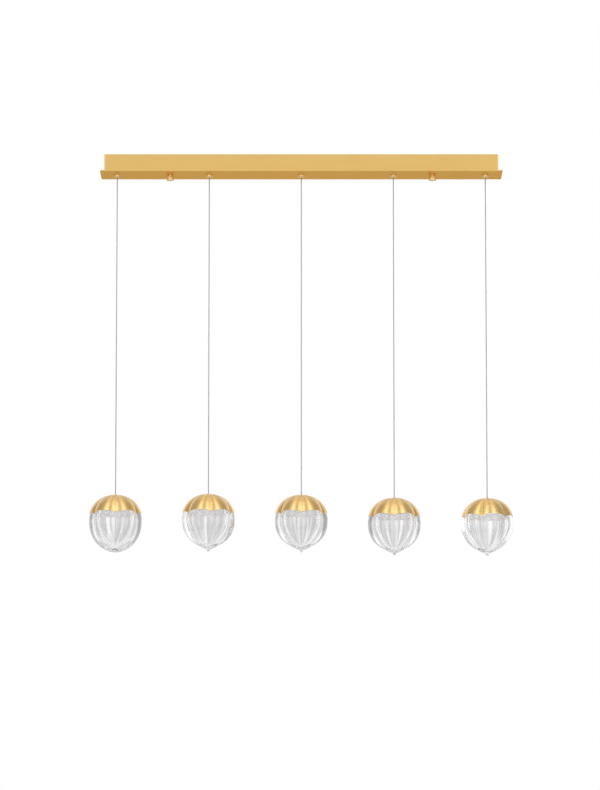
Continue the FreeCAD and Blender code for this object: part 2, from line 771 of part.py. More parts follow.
def cavity_outline(sketch):
    """Half section of the cavity: a pointed lower arc, a short upper arc and the open mouth."""
    wide = value("sizes.cavity_radius")
    waist = value("sizes.cavity_waist")
    low = -value("sizes.cavity_depth")
    rim = value("sizes.glass_rim")
    mouth = value("sizes.mouth_radius")
    past = value("sizes.mouth_past")
    deep = waist - low
    lower_radius = (wide**2 + deep**2) / (2 * wide)
    lower_centre = Vector(wide - lower_radius, waist, 0)
    step = wide - mouth
    high = rim - waist
    upper_radius = (step**2 + high**2) / (2 * step)
    upper_centre = Vector(wide - upper_radius, waist, 0)
    bottom = Vector(0, low, 0)
    side = Vector(wide, waist, 0)
    lip = Vector(mouth, rim, 0)
    above = Vector(mouth, rim + past, 0)
    middle = Vector(0, rim + past, 0)
    lower_middle = lower_centre + ((bottom + side) * 0.5 - lower_centre).normalize() * lower_radius
    upper_middle = upper_centre + ((lip + side) * 0.5 - upper_centre).normalize() * upper_radius
    lower_arc = sketch.addGeometry(Part.Arc(bottom, lower_middle, side))
    upper_arc = sketch.addGeometry(Part.Arc(side, upper_middle, lip))
    lines = [
        sketch.addGeometry(Part.LineSegment(lip, above)),
        sketch.addGeometry(Part.LineSegment(above, middle)),
        sketch.addGeometry(Part.LineSegment(middle, bottom)),
    ]
    chain = [lower_arc, upper_arc] + lines
    for index, edge in enumerate(chain):
        following = chain[(index + 1) % len(chain)]
        sketch.addConstraint(Sketcher.Constraint("Coincident", edge, 2, following, 1))
    pin_point(sketch, lower_arc, 1, "0", "-sizes.cavity_depth")
    pin_point(sketch, upper_arc, 1, "sizes.cavity_radius", "sizes.cavity_waist")
    pin_point(sketch, lines[0], 1, "sizes.mouth_radius", "sizes.glass_rim")
    pin_point(sketch, lines[1], 1, "sizes.mouth_radius", "sizes.glass_rim + sizes.mouth_past")
    pin_point(sketch, lines[2], 1, "0", "sizes.glass_rim + sizes.mouth_past")
    for arc in (lower_arc, upper_arc):
        index = sketch.addConstraint(Sketcher.Constraint("DistanceY", arc, 3, waist))
        sketch.setExpression(f"Constraints[{index}]", "sizes.cavity_waist")


# Hardware between cord and cap
def cap_bush(number):
    """Hollow bush through the cap's roof, with a seat inside that the ferrule bears up against."""
    body = new_body(f"cap_bush_{number}")
    top = f"({ROOF_LEVEL} + sizes.bush_flange_height)"
    foot = f"({ROOF_LEVEL} - sizes.bush_length)"
    socket = "(sizes.ferrule_radius + sizes.ferrule_clearance)"
    turn(
        body,
        [
            (GRIP_BORE, top),
            ("sizes.bush_flange_radius - sizes.fine_break", top),
            ("sizes.bush_flange_radius", f"{top} - sizes.fine_break"),
            ("sizes.bush_flange_radius", ROOF_LEVEL),
            ("sizes.bush_radius", ROOF_LEVEL),
            ("sizes.bush_radius", foot),
            (socket, foot),
            (socket, BUSH_SEAT),
            (GRIP_BORE, BUSH_SEAT),
        ],
    )
    place_drop(body, number)
    return body


def cord_ferrule(number):
    """Crimped stop on the cord's end."""
    body = new_body(f"cord_ferrule_{number}")
    foot = f"({BUSH_SEAT} - sizes.ferrule_length)"
    radius = "sizes.ferrule_radius"
    turn(
        body,
        [
            ("0", BUSH_SEAT),
            (radius, BUSH_SEAT),
            (radius, f"{foot} + sizes.fine_break"),
            (f"{radius} - sizes.fine_break", foot),
            ("0", foot),
        ],
    )
    place_drop(body, number, turned=False)
    return body


def heat_sink(number):
    """Turned aluminium sink: a flange on the seal, a grooved body and a hub under the cap's roof."""
    body = new_body(f"heat_sink_{number}")
    bore = "(sizes.bush_radius + sizes.bush_fit)"
    shelf = f"({SINK_BOTTOM} + sizes.sink_flange_height)"
    deck = f"({shelf} + sizes.sink_body_height)"
    socket_floor = f"({ROOF_LEVEL} - sizes.bush_length - sizes.cut_past)"
    turn(
        body,
        [
            ("0", SINK_BOTTOM),
            ("sizes.sink_flange_radius", SINK_BOTTOM),
            ("sizes.sink_flange_radius", shelf),
            ("sizes.sink_body_radius", shelf),
            ("sizes.sink_body_radius", deck),
            ("sizes.sink_hub_radius", deck),
            ("sizes.sink_hub_radius", f"{SINK_TOP} - sizes.sink_hub_break"),
            ("sizes.sink_hub_radius - sizes.sink_hub_break", SINK_TOP),
            (bore, SINK_TOP),
            (bore, socket_floor),
            ("0", socket_floor),
        ],
    )
    inner = "(sizes.sink_body_radius - sizes.sink_groove_depth)"
    outer = "(sizes.sink_body_radius + sizes.cut_past)"
    for step in (1, 2, 3):
        low = f"({shelf} + {step} * sizes.sink_body_height / 4 - sizes.sink_groove_width / 2)"
        high = f"({low} + sizes.sink_groove_width)"
        groove(body, [(inner, low), (outer, low), (outer, high), (inner, high)], f"fin_{step}")
    place_drop(body, number)
    return body


def led_board(number):
    body = new_body(f"led_board_{number}")
    low = f"({SINK_BOTTOM} - sizes.board_height)"
    radius = "sizes.board_radius"
    turn(body, [("0", SINK_BOTTOM), (radius, SINK_BOTTOM), (radius, low), ("0", low)])
    place_drop(body, number)
    return body


def led_lens(number):
    """Shallow cup over the board that spreads the light."""
    body = new_body(f"led_lens_{number}")
    wall = "sizes.lens_wall"
    radius = "(sizes.board_radius + sizes.lens_gap + sizes.lens_wall)"
    foot = f"({SINK_BOTTOM} - sizes.lens_height)"
    turn(
        body,
        [
            (f"{radius} - {wall}", SINK_BOTTOM),
            (radius, SINK_BOTTOM),
            (radius, f"{foot} + sizes.edge_break"),
            (f"{radius} - sizes.edge_break", foot),
            ("0", foot),
            ("0", f"{foot} + {wall}"),
            (f"{radius} - {wall}", f"{foot} + {wall}"),
        ],
    )
    place_drop(body, number)
    return body


def glass_seal(number):
    """Silicone ring that bonds the glass rim to the sink's flange."""
    body = new_body(f"glass_seal_{number}")
    inner = "(sizes.mouth_radius + sizes.seal_inset)"
    outer = f"({inner} + sizes.seal_width)"
    turn(
        body,
        [
            (inner, "sizes.glass_rim"),
            (outer, "sizes.glass_rim"),
            (outer, SINK_BOTTOM),
            (inner, SINK_BOTTOM),
        ],
    )
    place_drop(body, number)
    return body


# Electrical parts on the plate
def led_driver():
    body = new_body("led_driver")
    case = new_sketch(body, "driver_outline", level=PLATE_TOP)
    half = "sizes.driver_length / 2"
    rectangle(case, half, "sizes.driver_width / 2", "sizes.driver_place")
    block = pad(body, case, "sizes.driver_height")
    doc.recompute()
    floor = value(PLATE_TOP)
    soft = [
        f"Edge{index}"
        for index, edge in enumerate(block.Shape.Edges, start=1)
        if edge.BoundBox.ZMax > floor + 0.01
    ]
    eased = body.newObject("PartDesign::Fillet", "driver_edges")
    eased.Base = (block, soft)
    eased.setExpression("Radius", "sizes.driver_corner")
    tabs = new_sketch(body, "driver_tabs", level=PLATE_TOP)
    reach = "(sizes.driver_length / 2 + sizes.driver_tab_length)"
    rectangle(tabs, reach, "sizes.driver_width / 4", "sizes.driver_place")
    pad(body, tabs, "sizes.driver_tab_height")
    holes = new_sketch(body, "driver_tab_holes", level=PLATE_TOP)
    driver_screw_places(holes, "(sizes.screw_radius + sizes.screw_clearance)")
    pocket(body, holes, "sizes.driver_tab_height + sizes.cut_past", reverse=True)
    return body


def driver_screw_places(sketch, radius):
    reach = "(sizes.driver_length / 2 + sizes.driver_tab_length / 2)"
    for side in (-1, 1):
        circle(sketch, radius, f"(sizes.driver_place + {side} * {reach})")


def driver_screws():
    body = new_body("driver_screws")
    body.AllowCompound = True
    shank = new_sketch(body, "driver_shanks", level=PLATE_TOP)
    driver_screw_places(shank, "sizes.screw_radius")
    pad(body, shank, "sizes.driver_tab_height + sizes.head_overlap")
    heads = new_sketch(body, "driver_heads", level=f"{PLATE_TOP} + sizes.driver_tab_height")
    driver_screw_places(heads, "sizes.screw_head_radius")
    pad(body, heads, "sizes.screw_head_height")
    return body


def terminal_block():
    """Moulded block with five ports in its top for the leads and a raised rib between them."""
    body = new_body("terminal_block")
    base = new_sketch(body, "block_outline", level=PLATE_TOP)
    rectangle(base, "sizes.block_length / 2", "sizes.block_width / 2", "sizes.block_place")
    pad(body, base, "sizes.block_height")
    ports = new_sketch(body, "block_ports", level=f"{PLATE_TOP} + sizes.block_height")
    for number in DROPS:
        lane = f"({number - MIDDLE_DROP} * sizes.lead_lane)"
        circle(ports, "(sizes.cord_radius + sizes.cord_clearance)", "sizes.block_place", lane)
    pocket(body, ports, "sizes.block_height / 2")
    screws = new_sketch(body, "block_screw_wells", level=f"{PLATE_TOP} + sizes.block_height")
    for number in DROPS:
        lane = f"({number - MIDDLE_DROP} * sizes.lead_lane)"
        circle(screws, "sizes.block_well_radius", "sizes.block_place + sizes.block_length / 4", lane)
    pocket(body, screws, "sizes.block_well_depth")
    return body


def tube(points, radius, bend):
    """Round wire along straight runs joined by tangent arcs."""
    edges = []
    start = points[0]
    for index in range(1, len(points) - 1):
        corner = points[index]
        back = (points[index - 1] - corner).normalize()
        ahead = (points[index + 1] - corner).normalize()
        half = back.getAngle(ahead) / 2
        cut = bend / math.tan(half)
        begin = corner + back * cut
        end = corner + ahead * cut
        inward = (back + ahead).normalize()
        centre = corner + inward * (bend**2 + cut**2) ** 0.5
        edges.append(Part.LineSegment(start, begin).toShape())
        edges.append(Part.Arc(begin, centre - inward * bend, end).toShape())
        start = end
    edges.append(Part.LineSegment(start, points[-1]).toShape())
    path = Part.Wire(edges)
    disc = Part.Wire(Part.Circle(points[0], points[1] - points[0], radius).toShape())
    return path.makePipeShell([disc], True, False)


def wiring_harness():
    """Five leads, one from each cord grip across to the terminal block."""
    leads = []
    radius = value("sizes.cord_radius")
    bend = value("sizes.lead_bend")
    start_level = value(PIVOT_LEVEL) + radius + value("sizes.cord_clearance")
    high = -value("sizes.lead_height")
    block_x = value("sizes.block_place")
    port_level = value(f"{PLATE_TOP} + sizes.block_height / 2 + 2 * sizes.end_gap")
    for number in DROPS:
        place = value(drop_place(number))
        lane = (number - MIDDLE_DROP) * value("sizes.lead_lane")
        side = 1 if place < block_x else -1
        leads.append(lead_route(place, lane, side, start_level, high, block_x, port_level, radius, bend))
    piece = doc.addObject("Part::Feature", "wiring_harness")
    piece.Label = "wiring_harness"
    piece.Shape = Part.makeCompound(leads)
    return piece


def lead_route(place, lane, side, start_level, high, block_x, port_level, radius, bend):
    points = [Vector(place, 0, start_level), Vector(place, 0, high)]
    if lane:
        points.append(Vector(place + side * 4 * bend, lane, high))
    points.append(Vector(block_x, lane, high))
    points.append(Vector(block_x, lane, port_level))
    return tube(points, radius, bend)


def build():
    """Every sub-part, in the order in which the pendant goes together."""
    pieces = [
        ceiling_bracket(),
        mounting_studs(),
        stud_lock_nuts(),
        canopy_housing(),
        canopy_plate(),
        housing_screws(),
        thumb_nut("thumb_nut_left", -1),
        thumb_nut("thumb_nut_right", 1),
        cord_grips(),
        grip_lock_nuts(),
        led_driver(),
        driver_screws(),
        terminal_block(),
        wiring_harness(),
    ]
    makers = (
        suspension_cord,
        cord_ferrule,
        cap_bush,
        cap,
        heat_sink,
        led_board,
        led_lens,
        glass_seal,
        glass,
    )
    for number in DROPS:
        for make in makers:
            pieces.append(make(number))
    return pieces


def check(pieces):
    """Stop if any object of the document failed or any piece has no sound solid."""
    for item in doc.Objects:
        if "Invalid" in item.State or "Error" in item.State:
            raise RuntimeError(f"{item.Label} failed: {item.State}")
    for piece in pieces:
        shape = piece.Shape
        if shape.isNull() or not shape.isValid() or not shape.Solids:
            raise RuntimeError(f"{piece.Label} has no sound solid")


def export(pieces):
    os.makedirs("parts", exist_ok=True)
    for piece in pieces:
        piece.Shape.exportStep(os.path.join("parts", piece.Label + ".step"))


pieces = build()
doc.recompute()
check(pieces)
export(pieces)
for piece in pieces:
    box = piece.Shape.BoundBox
    print(
        f"{piece.Label:20s} solids {len(piece.Shape.Solids)} volume {piece.Shape.Volume:10.0f}"
        f" x {box.XMin:7.1f} {box.XMax:7.1f} y {box.YMin:6.1f} {box.YMax:6.1f}"
        f" z {box.ZMin:7.1f} {box.ZMax:7.1f}"
    )
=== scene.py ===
# %% [markdown]
# # A linear island pendant
# A flat satin gold canopy against the ceiling carries five thin cords, and on each cord hangs a clear
# glass drop with six lobes under a lobed gold cap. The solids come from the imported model. This lesson
# adds what solids cannot show: brushed metal, braided cord, thick clear glass, and the studio's light.

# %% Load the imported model
import math

import bpy
import numpy as np
from mathutils import Matrix, Vector


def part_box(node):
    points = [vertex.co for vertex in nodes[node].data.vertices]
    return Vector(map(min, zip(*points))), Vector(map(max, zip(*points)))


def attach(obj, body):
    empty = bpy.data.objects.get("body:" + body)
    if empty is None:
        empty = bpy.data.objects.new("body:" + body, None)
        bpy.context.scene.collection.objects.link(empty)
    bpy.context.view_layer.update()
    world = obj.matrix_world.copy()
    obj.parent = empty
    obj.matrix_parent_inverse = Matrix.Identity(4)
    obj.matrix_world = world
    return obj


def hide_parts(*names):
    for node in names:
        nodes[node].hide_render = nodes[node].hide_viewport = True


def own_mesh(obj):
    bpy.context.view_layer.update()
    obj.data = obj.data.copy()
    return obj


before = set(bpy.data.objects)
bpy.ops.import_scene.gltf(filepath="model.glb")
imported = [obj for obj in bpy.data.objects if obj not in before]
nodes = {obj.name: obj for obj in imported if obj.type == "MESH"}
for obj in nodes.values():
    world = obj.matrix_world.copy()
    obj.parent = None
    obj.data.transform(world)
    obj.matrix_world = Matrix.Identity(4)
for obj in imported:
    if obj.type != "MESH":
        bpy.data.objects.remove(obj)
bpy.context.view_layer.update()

# %% [markdown]
# ## What is where
# Each drop was drawn about the middle of its glass ball, so that middle is worked out first. The cord's
# pivot is in its grip and its lower end meets the crimped ferrule, 57.5 mm above the ball's middle.
# Every drop is turned about its cord by its own few degrees. All lengths from here on are in metres, as
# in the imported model.

# %% Places of the five drops
MM = 0.001
FULL_TURN = 2 * math.pi
DROPS = (1, 2, 3, 4, 5)
PIVOT = -44.3 * MM
SEAT_ABOVE_BALL = 57.48 * MM
TURN = {1: 2.2, 2: 5.8, 3: 2.2, 4: -1.6, 5: -15.0}
place = {}
for n in DROPS:
    low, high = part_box(f"cord_ferrule_{n}")
    place[n] = Vector(((low.x + high.x) / 2, 0.0, high.z - SEAT_ABOVE_BALL))
    print("drop", n, "ball middle", [round(v, 4) for v in place[n]], "turned", TURN[n], "degrees")

# %% [markdown]
# ## The camera first
# The photograph was taken from well below the canopy with a long lens, so the canopy's underside shows
# as a narrow strip, and the cords stay almost parallel. A camera twelve metres away and two and a half
# metres below the ceiling sees the same. It is tipped up by nine degrees to bring the pendant in.

# %% Camera
LENS = 234.96
SENSOR = 36.0
CAMERA_PLACE = (-0.0031, -12.0, -2.5)
CAMERA_TILT = math.radians(9.133)
FARTHEST_SEEN = 200.0
camera_data = bpy.data.cameras.new("viewpoint")
camera_data.lens = LENS
camera_data.sensor_width = SENSOR
camera_data.clip_end = FARTHEST_SEEN
camera = bpy.data.objects.new("viewpoint", camera_data)
bpy.context.scene.collection.objects.link(camera)
camera.location = CAMERA_PLACE
camera.rotation_euler = (math.radians(90) + CAMERA_TILT, 0, 0)
bpy.context.scene.camera = camera
bpy.context.scene.view_settings.view_transform = "Standard"
print("lens", LENS, "mm, tipped up", round(math.degrees(CAMERA_TILT), 2), "degrees")

# %% [markdown]
# ## A small kit for materials
# Every finish below is a Principled shader. What changes over a surface, such as grain or a worn edge,
# comes from shader groups that are built once and placed in each material with its own values. A group
# gives out only colours, roughness and heights, and the shader itself stays in the material.

# %% Helpers for materials and groups
def new_group(name, inputs, outputs):
    """Empty shader group with named sockets; inputs are (name, default) pairs."""
    group = bpy.data.node_groups.new(name, "ShaderNodeTree")
    for label, default in inputs:
        kind = "NodeSocketFloat" if isinstance(default, (int, float)) else "NodeSocketColor"
        socket = group.interface.new_socket(name=label, in_out="INPUT", socket_type=kind)
        socket.default_value = default
    for label, kind in outputs:
        group.interface.new_socket(name=label, in_out="OUTPUT", socket_type=kind)
    start = group.nodes.new("NodeGroupInput")
    end = group.nodes.new("NodeGroupOutput")
    return group, start, end


def new_material(name, **values):
    """Material with one Principled shader whose plain values are set on its own sockets."""
    material = bpy.data.materials.new(name)
    material.use_nodes = True
    tree = material.node_tree
    shader = tree.nodes["Principled BSDF"]
    for key, setting in values.items():
        shader.inputs[key.replace("_", " ")].default_value = setting
    return material, tree, shader


def place_group(tree, group, **values):
    """Copy of a shader group in a material, with its own values."""
    node = tree.nodes.new("ShaderNodeGroup")
    node.node_tree = group
    for key, setting in values.items():
        node.inputs[key.replace("_", " ")].default_value = setting
    return node


# %% [markdown]
# ## Small steps between nodes
# A node is made, given its values and linked to what comes before it. These helpers do that for the few
# kinds of node that come up again and again, and hand back the socket that carries the result.

# %% Helpers for single nodes
def add(tree, kind, **settings):
    """New node with its properties or inputs set; inputs are given by name."""
    node = tree.nodes.new(kind)
    for key, setting in settings.items():
        if key in node.inputs:
            node.inputs[key].default_value = setting
        else:
            setattr(node, key, setting)
    return node


def calculate(tree, operation, *operands):
    """Result of a sum on operands that are numbers or sockets."""
    node = add(tree, "ShaderNodeMath", operation=operation)
    for slot, operand in zip(node.inputs, operands):
        if isinstance(operand, (int, float)):
            slot.default_value = operand
        else:
            tree.links.new(operand, slot)
    return node.outputs[0]


def noise(tree, where, **settings):
    """Cloudy noise over the given coordinates."""
    node = add(tree, "ShaderNodeTexNoise", **settings)
    tree.links.new(where, node.inputs["Vector"])
    return node.outputs[0]


def map_range(tree, value, from_min, from_max, to_min, to_max):
    """A value stretched from one range to another."""
    limits = {"From Min": from_min, "From Max": from_max, "To Min": to_min, "To Max": to_max}
    node = add(tree, "ShaderNodeMapRange", **limits)
    tree.links.new(value, node.inputs["Value"])
    return node.outputs[0]


def add_relief(tree, shader, height, strength, depth):
    """Fine bumps on a shader's surface from a height."""
    relief = add(tree, "ShaderNodeBump", Strength=strength, Distance=depth)
    tree.links.new(height, relief.inputs["Height"])
    tree.links.new(relief.outputs["Normal"], shader.inputs["Normal"])


# %% [markdown]
# ## Brushed grain
# The canopy's sheet was drawn under a belt of fine abrasive before it was plated. Up close that is
# thousands of long scratches along the sheet, a few tenths of a millimetre wide. Noise that is stretched
# far along X gives such streaks, and they change colour, height and gloss a little. The helpers in this
# cell also serve the moulded surfaces further down.

# %% Brushed grain group
SURFACE_OUTPUTS = [("Color", "NodeSocketColor"), ("Roughness", "NodeSocketFloat"),
                   ("Height", "NodeSocketFloat")]
CLOUD_SHARE = 0.35


def colour_and_gloss(group, start, end, wear, height):
    """Vary a group's colour and roughness by a wear round zero, and pass its height on."""
    shade = calculate(group, "MULTIPLY_ADD", wear, start.outputs["Variation"], 1.0)
    gloss = calculate(group, "MULTIPLY_ADD", wear, start.outputs["Spread"], start.outputs["Roughness"])
    tint = add(group, "ShaderNodeVectorMath", operation="SCALE")
    group.links.new(start.outputs["Base"], tint.inputs[0])
    group.links.new(shade, tint.inputs["Scale"])
    group.links.new(tint.outputs[0], end.inputs["Color"])
    group.links.new(gloss, end.inputs["Roughness"])
    group.links.new(height, end.inputs["Height"])


def dress(tree, shader, surface, bump, depth):
    """Let a placed group give a shader its colour, roughness and fine bumps."""
    tree.links.new(surface.outputs["Color"], shader.inputs["Base Color"])
    tree.links.new(surface.outputs["Roughness"], shader.inputs["Roughness"])
    add_relief(tree, shader, surface.outputs["Height"], bump, depth)


def brushed_group():
    """Streaks of noise along one direction, with a faint cloudiness under them."""
    group, start, end = new_group(
        "brushed grain",
        [("Base", (0.8, 0.55, 0.25, 1)), ("Variation", 0.06), ("Roughness", 0.3), ("Spread", 0.08),
         ("Along X", 6.0), ("Along Y", 900.0), ("Along Z", 900.0)],
        SURFACE_OUTPUTS,
    )
    where = add(group, "ShaderNodeTexCoord").outputs["Object"]
    scale = add(group, "ShaderNodeCombineXYZ")
    for axis in "XYZ":
        group.links.new(start.outputs["Along " + axis], scale.inputs[axis])
    stretch = add(group, "ShaderNodeVectorMath", operation="MULTIPLY")
    group.links.new(where, stretch.inputs[0])
    group.links.new(scale.outputs[0], stretch.inputs[1])
    streaks = noise(group, stretch.outputs[0], Scale=1.0, Detail=3.0, Roughness=0.6)
    cloud = noise(group, where, Scale=14.0, Detail=2.0)
    centred = calculate(group, "SUBTRACT", streaks, 0.5)
    soft = calculate(group, "MULTIPLY_ADD", cloud, CLOUD_SHARE, -CLOUD_SHARE / 2)
    wear = calculate(group, "ADD", centred, soft)
    colour_and_gloss(group, start, end, wear, streaks)
    return group


BRUSHED = brushed_group()
print("shader group made:", BRUSHED.name)

# %% [markdown]
# ## Metal finishes
# The canopy is plated and brushed to a satin gold, which mirrors the room as a soft blur. The caps have
# a like gold under a clear lacquer. The small turned fittings are polished, and the hidden bracket,
# nuts and screws are zinc plated steel.

# %% Metal materials
GOLD_EDGE = (0.86, 0.62, 0.34)
PALE_EDGE = (0.98, 0.84, 0.60)
GRAIN_DEPTH = 0.04 * MM


def metal(name, base, roughness, variation, spread, grain, bump, edge=(1, 1, 1), metallic=1.0,
          **plain):
    """Metal with a stretched grain; grain is the number of streaks per metre along X, Y and Z."""
    material, tree, shader = new_material(name, Metallic=metallic, Specular_Tint=(*edge, 1), **plain)
    streaks = place_group(tree, BRUSHED, Base=(*base, 1), Roughness=roughness, Variation=variation,
                          Spread=spread, Along_X=grain[0], Along_Y=grain[1], Along_Z=grain[2])
    dress(tree, shader, streaks, bump, GRAIN_DEPTH)
    return material


satin_gold = metal("satin_gold", (0.83, 0.54, 0.178), 0.30, 0.10, 0.10, (5, 1400, 1400), bump=0.15,
                   edge=GOLD_EDGE)
cap_gold = metal("cap_gold", (0.88, 0.585, 0.20), 0.40, 0.05, 0.06, (300, 300, 900), bump=0.06,
                 edge=PALE_EDGE, metallic=0.9, Anisotropic=0.92, Anisotropic_Rotation=0.25,
                 Coat_Weight=0.8, Coat_IOR=1.8, Coat_Roughness=0.24)
polished_gold = metal("polished_gold", (0.86, 0.70, 0.44), 0.26, 0.04, 0.05, (200, 200, 2000), bump=0.1,
                      edge=PALE_EDGE)
zinc_steel = metal("zinc_steel", (0.60, 0.61, 0.62), 0.34, 0.10, 0.12, (60, 400, 400), bump=0.1)
sink_aluminium = metal("sink_aluminium", (0.77, 0.77, 0.78), 0.3, 0.06, 0.1, (40, 40, 2500), bump=0.1)
print("metals:", [m.name for m in (satin_gold, cap_gold, polished_gold, zinc_steel, sink_aluminium)])

# %% [markdown]
# ## Moulded surfaces
# Moulded plastic is never quite even: the mould leaves a fine spark-eroded texture, and dust settles in
# it. One group serves every plastic here. A fine noise gives the texture and a wide one the unevenness.

# %% Moulded surface group
def moulded_group():
    """Fine grain in the height, and a wide unevenness in colour and gloss."""
    group, start, end = new_group(
        "moulded surface",
        [("Base", (0.8, 0.8, 0.8, 1)), ("Variation", 0.05), ("Roughness", 0.5), ("Spread", 0.1),
         ("Grain", 900.0)],
        SURFACE_OUTPUTS,
    )
    where = add(group, "ShaderNodeTexCoord").outputs["Object"]
    fine = add(group, "ShaderNodeTexNoise", Detail=2.0)
    group.links.new(where, fine.inputs["Vector"])
    group.links.new(start.outputs["Grain"], fine.inputs["Scale"])
    wide = noise(group, where, Scale=22.0, Detail=3.0)
    wear = calculate(group, "SUBTRACT", wide, 0.5)
    colour_and_gloss(group, start, end, wear, fine.outputs[0])
    return group


MOULDED = moulded_group()
print("shader group made:", MOULDED.name)

# %% [markdown]
# ## Plastics, silicone and the lit parts
# The driver's case, the terminals and the seals are plain mouldings. The opal lens and the board under
# it sit in the top of each drop. The lens gives off a little light. The cap's white lining glows faintly
# too, as painted light.

# %% Moulded materials
MOULD_DEPTH = 0.05 * MM


def moulded(name, base, roughness, variation=0.06, spread=0.12, grain=900.0, bump=0.12, **plain):
    """Moulded or enamelled material; grain is the number of bumps per metre."""
    material, tree, shader = new_material(name, **plain)
    surface = place_group(tree, MOULDED, Base=(*base, 1), Roughness=roughness, Variation=variation,
                          Spread=spread, Grain=grain)
    dress(tree, shader, surface, bump, MOULD_DEPTH)
    return material


driver_case = moulded("driver_case", (0.80, 0.80, 0.79), 0.45)
terminal_plastic = moulded("terminal_plastic", (0.74, 0.74, 0.70), 0.4)
board_white = moulded("board_white", (0.86, 0.86, 0.84), 0.35, grain=1500)
lens_opal = moulded("lens_opal", (0.92, 0.92, 0.90), 0.3, variation=0.03, grain=600, bump=0.05,
                    Emission_Color=(1.0, 0.99, 0.96, 1), Emission_Strength=0.55)
# The lining's faint emission is painted light that brightens the band of glass just under the cap.
cap_lining_painted_glow = moulded("cap_lining_painted_glow", (0.80, 0.80, 0.79), 0.35, grain=700, bump=0.06,
                     Emission_Color=(1.0, 0.99, 0.97, 1), Emission_Strength=0.42)
seal_silicone = moulded("seal_silicone", (0.78, 0.78, 0.78), 0.35, grain=400)
mouldings = (driver_case, terminal_plastic, board_white, lens_opal, cap_lining_painted_glow, seal_silicone)
print("mouldings:", [m.name for m in mouldings])

# %% [markdown]
# ## Paint the solids that stay
# Most solids keep their packed form and only need a finish. Cords, glasses and caps come later, with
# meshes of their own.

# %% Finishes on the solids
def paint(material, *names):
    """Give solids their finish and say how many there were."""
    for name in names:
        slots = nodes[name].data.materials
        slots.clear()
        slots.append(material)
    return len(names)


count = paint(satin_gold, "canopy_housing", "canopy_plate")
count += paint(polished_gold, "thumb_nut_left", "thumb_nut_right", "cord_grips")
count += paint(zinc_steel, "ceiling_bracket", "mounting_studs", "stud_lock_nuts", "housing_screws",
               "grip_lock_nuts", "driver_screws")
count += paint(driver_case, "led_driver")
count += paint(terminal_plastic, "terminal_block")
for n in DROPS:
    count += paint(polished_gold, f"cap_bush_{n}")
    count += paint(zinc_steel, f"cord_ferrule_{n}")
    count += paint(sink_aluminium, f"heat_sink_{n}")
    count += paint(board_white, f"led_board_{n}")
    count += paint(lens_opal, f"led_lens_{n}")
    count += paint(seal_silicone, f"glass_seal_{n}")
print("solids painted:", count)

# %% [markdown]
# ## The braid
# A cord of this kind is a braid of fine tinned strands in a clear jacket. Two sets of waves lean left
# and right round the cord. Where one lies on top it is smoother, and between the strands the colour is
# darkened as painted shade. The leads in the canopy get the same finish.

# %% Braided cord material
STRANDS_ROUND = 4
STRANDS_ALONG = 190
STRAND_DEPTH = 0.2 * MM
BETWEEN_STRANDS = -0.4
ON_STRANDS = 1.0


def braid_material():
    """Two sets of crossing strands under a clear coat, with painted shade darkening the colour between them.
    """
    material, tree, shader = new_material("braided_cord", Metallic=0.55, Coat_Weight=0.6,
                                          Coat_Roughness=0.12)
    along = add(tree, "ShaderNodeTexCoord")
    parts = add(tree, "ShaderNodeSeparateXYZ")
    tree.links.new(along.outputs["UV"], parts.inputs[0])
    turns = calculate(tree, "MULTIPLY", parts.outputs["X"], STRANDS_ROUND * FULL_TURN)
    waves = []
    for lean in (1, -1):
        steps = lean * STRANDS_ALONG * FULL_TURN
        rise = calculate(tree, "MULTIPLY_ADD", parts.outputs["Y"], steps, turns)
        waves.append(calculate(tree, "SINE", rise))
    over = calculate(tree, "MAXIMUM", *waves)
    # The darker colour between the strands is painted shade.
    tone = map_range(tree, over, BETWEEN_STRANDS, ON_STRANDS, 0.12, 0.52)
    tree.links.new(tone, shader.inputs["Base Color"])
    rough = map_range(tree, over, BETWEEN_STRANDS, ON_STRANDS, 0.55, 0.28)
    tree.links.new(rough, shader.inputs["Roughness"])
    add_relief(tree, shader, over, 0.5, STRAND_DEPTH)
    return material


braided_cord = braid_material()
paint(braided_cord, "wiring_harness")
print("cord finish made:", braided_cord.name)

# %% [markdown]
# ## The cords
# Each cord is 2.5 mm thick and hangs dead straight under the weight of the glass. Its line is a smooth
# spline from pivot to ferrule. The tube round it is a mesh, because it has to shorten when its drop is
# raised.

# %% Helpers for line and tube
CORD_RADIUS = 1.25 * MM
CORD_SIDES = 16
SPLINE_STEPS = 24


def spline_points(points):
    """Points along a smooth NURBS line through a route's control points."""
    data = bpy.data.curves.new("route", "CURVE")
    data.dimensions = "3D"
    data.resolution_u = SPLINE_STEPS
    line = data.splines.new("NURBS")
    line.points.add(len(points) - 1)
    for control, point in zip(line.points, points):
        control.co = (*point, 1)
    line.order_u = 3
    line.use_endpoint_u = True
    carrier = bpy.data.objects.new("route", data)
    bpy.context.scene.collection.objects.link(carrier)
    made = bpy.data.meshes.new_from_object(carrier)
    found = [Vector(v.co) for v in made.vertices]
    bpy.data.objects.remove(carrier)
    return found


def link_mesh(name, vertices, faces, uvs=None):
    """Smooth shaded mesh object from plain lists, linked into the scene."""
    mesh = bpy.data.meshes.new(name)
    mesh.from_pydata([tuple(v) for v in vertices], [], faces)
    mesh.update()
    if uvs is not None:
        layer = mesh.uv_layers.new(name="UVMap")
        for loop in mesh.loops:
            layer.data[loop.index].uv = uvs[loop.vertex_index]
    mesh.polygons.foreach_set("use_smooth", [True] * len(mesh.polygons))
    made = bpy.data.objects.new(name, mesh)
    bpy.context.scene.collection.objects.link(made)
    return made


